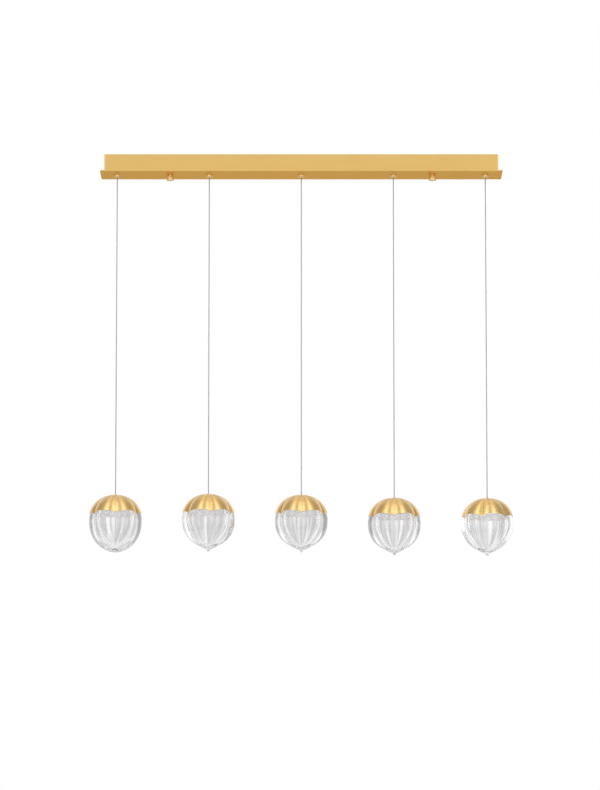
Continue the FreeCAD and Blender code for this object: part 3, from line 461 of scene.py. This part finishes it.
def cord_tube(name, route):
    """Round tube that follows a vertical route from top to bottom, with closed ends."""
    vertices, faces, uvs = [], [], []
    length = sum((b - a).length for a, b in zip(route, route[1:]))
    run = 0.0
    for index, point in enumerate(route):
        if index:
            run += (point - route[index - 1]).length
        for side in range(CORD_SIDES):
            angle = FULL_TURN * side / CORD_SIDES
            outward = Vector((math.cos(angle), math.sin(angle), 0))
            vertices.append(point + CORD_RADIUS * outward)
            uvs.append((2 * abs(side / CORD_SIDES - 0.5), run / length))
    last = (len(route) - 1) * CORD_SIDES
    for level in range(0, last, CORD_SIDES):
        for side in range(CORD_SIDES):
            here = level + side
            beside = level + (side + 1) % CORD_SIDES
            faces.append((here, here + CORD_SIDES, beside + CORD_SIDES, beside))
    faces.append(tuple(range(CORD_SIDES)))
    faces.append(tuple(reversed(range(last, last + CORD_SIDES))))
    return link_mesh(name, vertices, faces, uvs), length


# %% [markdown]
# ## Hang the cords
# Seven control points from pivot to ferrule make each route. Raising a drop by up to 0.4 m squashes its
# cord towards the pivot, as if the grip drew it in.

# %% Five cords
ROUTE_STEPS = 6
for n in DROPS:
    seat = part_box(f"cord_ferrule_{n}")[1].z
    levels = [PIVOT + (seat - PIVOT) * step / ROUTE_STEPS for step in range(ROUTE_STEPS + 1)]
    route = spline_points([Vector((place[n].x, 0, level)) for level in levels])
    tube, length = cord_tube(f"cord_{n}_braid", route)
    tube.data.materials.append(braided_cord)
    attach(tube, f"cord_{n}")
    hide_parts(f"suspension_cord_{n}")
    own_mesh(tube)
    print("cord", n, "length", round(length, 4), "m, points", len(route))

# %% [markdown]
# ## The lobed form
# Seen from above, cap and glass share one outline: six round lobes that meet in creases, like a
# pumpkin's. Each lobe is an arc whose centre stands off the axis. Its reach in any direction follows
# from the cosine rule, so one small function serves the cap, the glass and every level of both.

# %% Lobed outline
CAP = 63.8 * MM
LOBE_CENTRE = 25.0 * MM
LOBE_STAND = LOBE_CENTRE / CAP
LOBES = 6
HALF_LOBE = math.pi / LOBES
AROUND = 288


def lean_in_lobe(angle):
    """Angle between a direction and the middle of its own lobe."""
    return (angle + HALF_LOBE) % (2 * HALF_LOBE) - HALF_LOBE


def lobe_reach(angle):
    """Reach of the outline in a direction, one at the middle of each lobe and least in the creases."""
    lean = lean_in_lobe(angle)
    return LOBE_STAND * np.cos(lean) + np.sqrt((1 - LOBE_STAND) ** 2 - (LOBE_STAND * np.sin(lean)) ** 2)


theta = np.arange(AROUND) * FULL_TURN / AROUND
reach = lobe_reach(theta)
print("reach in the creases", round(float(reach.min()), 3), "and on the lobes", round(float(reach.max()), 3))

# %% [markdown]
# ## Bodies made of rings
# Glass and cap are both stacks of rings with the same number of points, joined by four-sided faces. A
# smooth curve through a few chosen points gives the radius and the height of every ring.

# %% Helpers for ring-built meshes
def smooth_line(points, count):
    """Catmull-Rom curve through a list of (radius, height) pairs, sampled evenly by span."""
    knots = np.array(points, float)
    knots = np.vstack([2 * knots[0] - knots[1], knots, 2 * knots[-1] - knots[-2]])
    spans = len(knots) - 3
    line = []
    for value in np.linspace(0, spans, count):
        span = min(int(value), spans - 1)
        t = value - span
        a, b, c, d = knots[span:span + 4]
        bend = 2 * a - 5 * b + 4 * c - d
        twist = 3 * b - a - 3 * c + d
        line.append(0.5 * (2 * b + (c - a) * t + bend * t**2 + twist * t**3))
    return np.array(line)


def ring(radius, height):
    """Ring of points from a radius in each direction and a height that may vary too."""
    radius = np.broadcast_to(radius, theta.shape)
    height = np.broadcast_to(height, theta.shape)
    return np.stack([radius * np.cos(theta), radius * np.sin(theta), height], axis=1)


def bridge(first, second):
    """Faces between two rings, each given by the number of its first point."""
    faces = []
    for step in range(AROUND):
        beside = (step + 1) % AROUND
        faces.append((first + step, first + beside, second + beside, second + step))
    return faces


def skin(rings):
    """Faces that join each ring to the next."""
    faces = []
    for level in range(len(rings) - 1):
        faces += bridge(level * AROUND, (level + 1) * AROUND)
    return faces


def turn_into_place(piece, n):
    """Turn a drop's piece about its cord and move it to its place, in the mesh itself."""
    turn = Matrix.Rotation(math.radians(TURN[n]), 4, "Z")
    piece.data.transform(Matrix.Translation(place[n]) @ turn)
    piece.data.update()


# %% [markdown]
# ## Outside of the glass
# Each drop is pressed glass, with six lobes round a ball 124 mm across. The upper half swells into full
# shoulders. The lower half is drawn out to a tip, except on the first drop, whose bottom is round.

# %% Outer profile
GLASS = 62.0 * MM
RIM = 34.0 * MM
SHOULDER = 2.2
ROUND_BOTTOM = 71.5 * MM
BOTTOM_FLAT = 0.2 * MM
SIDE_ANGLES = (54, 40, 26, 12)
BOTTOM_ANGLES = (84, 76, 66)
TIP_ANGLE = 65
TIP = [(0.15, -73.0), (1.3, -72.6), (1.9, -71.5), (3.2, -69.8), (5.3, -67.1), (8.9, -64.9),
       (18.0, -60.9)]
SHOULDER_LEVELS = (4, 14, 24, 30)


def shoulder_radius(height, radius):
    """Radius of the full-shouldered upper half at a height."""
    return radius * (1 - (height / radius) ** SHOULDER) ** (1 / SHOULDER)


def below_middle(degrees, depth):
    """Point of the lower half, on an oval that is as deep as given."""
    angle = math.radians(degrees)
    return (GLASS * math.cos(angle), -depth * math.sin(angle))


def outer_profile(round_bottom):
    """(radius, height) pairs from the bottom up to the rim."""
    if round_bottom:
        lower = [(BOTTOM_FLAT, -ROUND_BOTTOM)]
        lower += [below_middle(a, ROUND_BOTTOM) for a in BOTTOM_ANGLES + SIDE_ANGLES]
    else:
        lower = [(r * MM, z * MM) for r, z in TIP]
        lower += [below_middle(a, GLASS) for a in (TIP_ANGLE, *SIDE_ANGLES)]
    upper = [(shoulder_radius(z * MM, GLASS), z * MM) for z in SHOULDER_LEVELS]
    return lower + upper + [(shoulder_radius(RIM, GLASS), RIM)]


print("outline points: tipped", len(outer_profile(False)), "and round", len(outer_profile(True)))

# %% [markdown]
# ## Hollow of the glass
# The wall is up to about two centimetres thick. The hollow inside widens from the rim to its waist and
# then closes in one long arc to a point, like a flame. Both arcs are upright where they meet.

# %% Inner profile
MOUTH = 30.0 * MM
WAIST_RADIUS = 41.0 * MM
WAIST_LEVEL = 4.0 * MM
POINT_DEPTH = 52.0 * MM
POINT_RADIUS = 0.15 * MM
NECK_STEPS = 14
FLAME_STEPS = 44


def arc_radius(inset, rise):
    """Radius of an arc that leaves the waist upright and comes in by inset over rise."""
    return (inset**2 + rise**2) / (2 * inset)


def hollow_radius(height, arc):
    """Radius of the hollow at a height, on an arc that is widest at the waist."""
    return WAIST_RADIUS - arc + math.sqrt(arc**2 - (height - WAIST_LEVEL) ** 2)


def cavity_profile():
    """(radius, height) pairs of the hollow from the rim down to its point."""
    deep = WAIST_LEVEL + POINT_DEPTH
    flame = arc_radius(WAIST_RADIUS, deep)
    neck = arc_radius(WAIST_RADIUS - MOUTH, RIM - WAIST_LEVEL)
    neck_levels = np.linspace(RIM, WAIST_LEVEL, NECK_STEPS)[:-1]
    flame_levels = WAIST_LEVEL - deep * np.sin(np.linspace(0, math.pi / 2, FLAME_STEPS))
    pairs = [(hollow_radius(height, neck), height) for height in neck_levels]
    pairs += [(max(hollow_radius(height, flame), POINT_RADIUS), height) for height in flame_levels]
    return pairs


print("rings in the hollow:", len(cavity_profile()))

# %% [markdown]
# ## The glass drops
# Outer skin, rim and hollow follow each other as one closed stack of rings. Twelve shallow flutes run
# down the hollow and fade out at the rim. The thick wall bends them into the light and dark streaks
# that the photograph shows.

# %% Glass body
OUTER_RINGS = 120
FLUTES = 12
FLUTE_DEPTH = 0.025
FLUTE_FADE = 8 * MM


def glass_drop(n):
    """Closed glass body: outer skin from the bottom up, the rim, and the hollow back down."""
    outer = smooth_line(outer_profile(round_bottom=(n == 1)), OUTER_RINGS)
    rings = [ring(radius * reach, height) for radius, height in outer]
    for radius, height in cavity_profile():
        fade = min(1.0, (RIM - height) / FLUTE_FADE)
        flute = 1 - FLUTE_DEPTH * fade * (0.5 + 0.5 * np.cos(FLUTES * theta))
        rings.append(ring(radius * flute, height))
    faces = skin(rings)
    last = (len(rings) - 1) * AROUND
    faces.append(tuple(reversed(range(AROUND))))
    faces.append(tuple(range(last, last + AROUND)))
    return link_mesh(f"glass_drop_{n}", np.vstack(rings), faces)


# %% [markdown]
# ## Clear glass
# A ray that runs into a thick lobed wall is bent and mirrored many times before it leaves, most of all
# in the creases. With the usual limit it would give up there and leave black lines, so thirty-two turns
# are allowed. A noise makes the surface a little uneven and tints the glass with a trace of grey.

# %% Clear glass material
RAY_TURNS = 32
WAVE_DEPTH = 0.6 * MM
for kind in ("max_bounces", "transmission_bounces", "glossy_bounces"):
    setattr(bpy.context.scene.cycles, kind, RAY_TURNS)


def glass_material():
    """Clear pressed glass with a trace of waviness and a hint of grey."""
    material, tree, shader = new_material("clear_glass", Transmission_Weight=1.0, IOR=1.5)
    where = add(tree, "ShaderNodeTexCoord").outputs["Object"]
    smear = noise(tree, where, Scale=35.0, Detail=2.0)
    rough = map_range(tree, smear, 0.35, 0.7, 0.03, 0.07)
    tree.links.new(rough, shader.inputs["Roughness"])
    tint = add(tree, "ShaderNodeMix", data_type="RGBA")
    tint.inputs["A"].default_value = (0.94, 0.935, 0.94, 1)
    tint.inputs["B"].default_value = (0.91, 0.905, 0.91, 1)
    tree.links.new(smear, tint.inputs["Factor"])
    tree.links.new(tint.outputs["Result"], shader.inputs["Base Color"])
    waves = noise(tree, where, Scale=60.0, Detail=1.0)
    add_relief(tree, shader, waves, 0.02, WAVE_DEPTH)
    return material


clear_glass = glass_material()
for n in DROPS:
    drop = glass_drop(n)
    turn_into_place(drop, n)
    drop.data.materials.append(clear_glass)
    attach(drop, f"shade_{n}")
    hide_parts(f"glass_{n}")
    print("glass", n, "faces", len(drop.data.polygons))

# %% [markdown]
# ## Form of the caps
# A cap is spun and pressed from thin sheet, 1.4 mm thick. It has the same lobes as the glass below it, a
# flat spot on top for the bush, and a lower edge that rises in an arc over each lobe and dips to a point
# at each crease. Near the bore the lobes fade, so the bush sits on a round spot.

# %% Cap edge and skin
WALL = 1.4 * MM
SCALLOP_BASE = 14.0 * MM
SCALLOP_RISE = 7.2 * MM
SCALLOP_ROUNDS = 4
BORE = 4.05 * MM
ROOF = 63.48 * MM
LOBES_FADE = 10 * MM
CAP_RINGS = 44


def edge_height(radius):
    """Height of the cap's edge in each direction: an elliptic arc over each lobe.

    The edge comes in a little where it rises, so a few rounds bring its height and its reach together.
    """
    lean = lean_in_lobe(theta)
    crease = shoulder_radius(SCALLOP_BASE, radius) * reach.min() * math.sin(HALF_LOBE)
    height = np.full(AROUND, SCALLOP_BASE)
    for _ in range(SCALLOP_ROUNDS):
        out = shoulder_radius(height, radius) * reach
        across = np.clip(out * np.sin(lean) / crease, -1, 1)
        height = SCALLOP_BASE + SCALLOP_RISE * np.sqrt(1 - across**2)
    return height


def cap_skin(radius, edge):
    """Rings from the scalloped edge up to the bore."""
    top = math.acos((BORE / radius) ** (SHOULDER / 2))
    start = np.arcsin((edge / radius) ** (SHOULDER / 2))
    rings = []
    for share in np.linspace(0, 1, CAP_RINGS):
        angle = start + (top - start) * share
        level = np.minimum(radius * np.sin(angle) ** (2 / SHOULDER), ROOF - CAP + radius)
        spread = radius * np.cos(angle) ** (2 / SHOULDER)
        lobed = np.clip((spread - BORE) / LOBES_FADE, 0, 1)
        rings.append(ring(spread * (1 + (reach - 1) * lobed), level))
    return rings


edge = edge_height(CAP)
print("edge from", round(float(edge.min()), 4), "to", round(float(edge.max()), 4), "m above the middle")

# %% [markdown]
# ## The caps
# A cap is built as an outer and an inner skin with a narrow rounded edge between them. The inside is
# enamelled white and glows faintly as painted light, and it keeps gold out of the glass.

# %% Cap mesh
OUTER_LIP = 0.35 * MM
INNER_LIP = 0.2 * MM


def cap_shell(n):
    """Thin cap, gold outside and round its edge, white inside with a faint painted glow."""
    outside = cap_skin(CAP, edge + OUTER_LIP)
    inside = cap_skin(CAP - WALL, edge + INNER_LIP)
    lip = ring(shoulder_radius(edge, CAP - WALL / 2) * reach, edge)
    rings = list(reversed(outside)) + [lip] + inside
    last = (len(rings) - 1) * AROUND
    faces = [tuple(reversed(face)) for face in skin(rings) + bridge(last, 0)]
    made = link_mesh(f"cap_shell_{n}", np.vstack(rings), faces)
    made.data.materials.append(cap_gold)
    made.data.materials.append(cap_lining_painted_glow)
    first_inside = (len(outside) + 1) * AROUND
    for face in made.data.polygons:
        face.material_index = int(first_inside <= face.index < last)
    return made


for n in DROPS:
    shell = cap_shell(n)
    turn_into_place(shell, n)
    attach(shell, f"shade_{n}")
    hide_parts(f"cap_{n}")
    print("cap", n, "faces", len(shell.data.polygons))

# %% [markdown]
# ## The room's light
# The photograph has soft light from all round, with broad bright panels whose reflections run down the
# caps and the glass. The room is as bright as one ramp says for the way round, times what a second one
# says for the way up. Angles are in degrees, from the front towards the back and from level upwards.

# %% Tones of the room
ROOM_STRENGTH = 3.0
AROUND_TONES = [(0, 0.24), (12, 0.26), (21, 0.74), (37, 0.74), (48, 0.30), (59, 0.21), (75, 0.15),
                (110, 0.12), (123, 0.16), (131, 0.36), (140, 0.43), (149, 0.24), (158, 0.43),
                (169, 0.22), (180, 0.30)]
UPWARD_TONES = [(-90, 0.45), (-40, 0.50), (-12, 0.85), (4, 1.0), (40, 1.0), (60, 0.78), (90, 0.70)]


def ramp_of(tree, name, share, stops):
    """Brightness for a share between 0 and 1, from (position, brightness) stops."""
    ramp = add(tree, "ShaderNodeValToRGB", label=name)
    marks = ramp.color_ramp.elements
    marks[0].position, marks[1].position = stops[0][0], stops[-1][0]
    for mark, (_, tone) in ((marks[0], stops[0]), (marks[1], stops[-1])):
        mark.color = (tone, tone, tone, 1)
    for position, tone in stops[1:-1]:
        marks.new(position).color = (tone, tone, tone, 1)
    tree.links.new(share, ramp.inputs[0])
    return ramp.outputs[0]


def room_tone(tree):
    """Brightness of the room in the direction that is looked in."""
    way = add(tree, "ShaderNodeTexCoord")
    parts = add(tree, "ShaderNodeSeparateXYZ")
    tree.links.new(way.outputs["Generated"], parts.inputs[0])
    front = calculate(tree, "MULTIPLY", parts.outputs["Y"], -1)
    turn = calculate(tree, "ARCTAN2", parts.outputs["X"], front)
    share_round = calculate(tree, "DIVIDE", calculate(tree, "ABSOLUTE", turn), math.pi)
    share_up = calculate(tree, "MULTIPLY_ADD", parts.outputs["Z"], 0.5, 0.5)
    around_stops = [(angle / 180, tone) for angle, tone in AROUND_TONES]
    upward_stops = [(math.sin(math.radians(angle)) / 2 + 0.5, tone) for angle, tone in UPWARD_TONES]
    both = add(tree, "ShaderNodeMix", data_type="RGBA", blend_type="MULTIPLY")
    both.inputs["Factor"].default_value = 1
    tree.links.new(ramp_of(tree, "around", share_round, around_stops), both.inputs["A"])
    tree.links.new(ramp_of(tree, "upward", share_up, upward_stops), both.inputs["B"])
    return both.outputs["Result"]


print("tones around:", len(AROUND_TONES), "and upward:", len(UPWARD_TONES))

# %% [markdown]
# ## White behind the pendant
# The camera itself sees plain white, as in the photograph. Everything else, such as the mirroring metal
# and the glass, sees the room.

# %% World
def make_world():
    """World that is the room for the pendant and plain white for the camera."""
    world = bpy.data.worlds.new("studio")
    world.use_nodes = True
    bpy.context.scene.world = world
    tree = world.node_tree
    tree.nodes.clear()
    room = add(tree, "ShaderNodeBackground", Strength=ROOM_STRENGTH)
    tree.links.new(room_tone(tree), room.inputs["Color"])
    white = add(tree, "ShaderNodeBackground", Strength=1.0, Color=(1, 1, 1, 1))
    path = add(tree, "ShaderNodeLightPath")
    choose = add(tree, "ShaderNodeMixShader")
    tree.links.new(path.outputs["Is Camera Ray"], choose.inputs[0])
    tree.links.new(room.outputs[0], choose.inputs[1])
    tree.links.new(white.outputs[0], choose.inputs[2])
    output = add(tree, "ShaderNodeOutputWorld")
    tree.links.new(choose.outputs[0], output.inputs[0])
    return world


print("world made:", make_world().name)

# %% [markdown]
# ## The floor
# A pale floor lies well below the drops. It throws light up at them and stays out of the picture.

# %% Pale floor
FLOOR_LEVEL = -4.2
FLOOR_SIZE = 14
FLOOR_CELLS = 8


def floor_material():
    """Matt white paint, a little dappled, that glows faintly."""
    material, tree, shader = new_material("floor_paint", Roughness=0.8, Emission_Color=(1, 1, 1, 1),
                                          Emission_Strength=0.1)
    dapple = add(tree, "ShaderNodeTexNoise", Scale=3.0, Detail=4.0)
    tone = map_range(tree, dapple.outputs[0], 0, 1, 0.90, 0.93)
    tree.links.new(tone, shader.inputs["Base Color"])
    return material


bpy.ops.mesh.primitive_grid_add(x_subdivisions=FLOOR_CELLS, y_subdivisions=FLOOR_CELLS, size=FLOOR_SIZE,
                                location=(0, 0, FLOOR_LEVEL))
floor = bpy.context.object
floor.name = "pale_floor"
floor.data.materials.append(floor_material())
print("floor at", FLOOR_LEVEL, "m")

# %% [markdown]
# ## Two soft panels
# Tall lamps left and right of the camera brighten what faces it. They don't show in the metal or
# through the glass, where the room's own panels are seen.

# %% Panels
PANEL_ASIDE = 2.6
PANEL_FORWARD = -4.4
PANEL_LEVEL = 0.2
PANEL_AIM = Vector((0, 0, -0.6))
PANEL_WIDTH = 0.5
PANEL_HEIGHT = 2.4
PANEL_POWER = 30


def soft_panel(name, location):
    """Tall lamp that points at the middle of the pendant."""
    data = bpy.data.lights.new(name, "AREA")
    data.shape = "RECTANGLE"
    data.size = PANEL_WIDTH
    data.size_y = PANEL_HEIGHT
    data.energy = PANEL_POWER
    lamp = bpy.data.objects.new(name, data)
    bpy.context.scene.collection.objects.link(lamp)
    lamp.location = location
    lamp.rotation_euler = (PANEL_AIM - location).to_track_quat("-Z", "Y").to_euler()
    lamp.visible_glossy = False
    lamp.visible_transmission = False


for side, name in ((-1, "panel_left"), (1, "panel_right")):
    soft_panel(name, Vector((PANEL_ASIDE * side, PANEL_FORWARD, PANEL_LEVEL)))
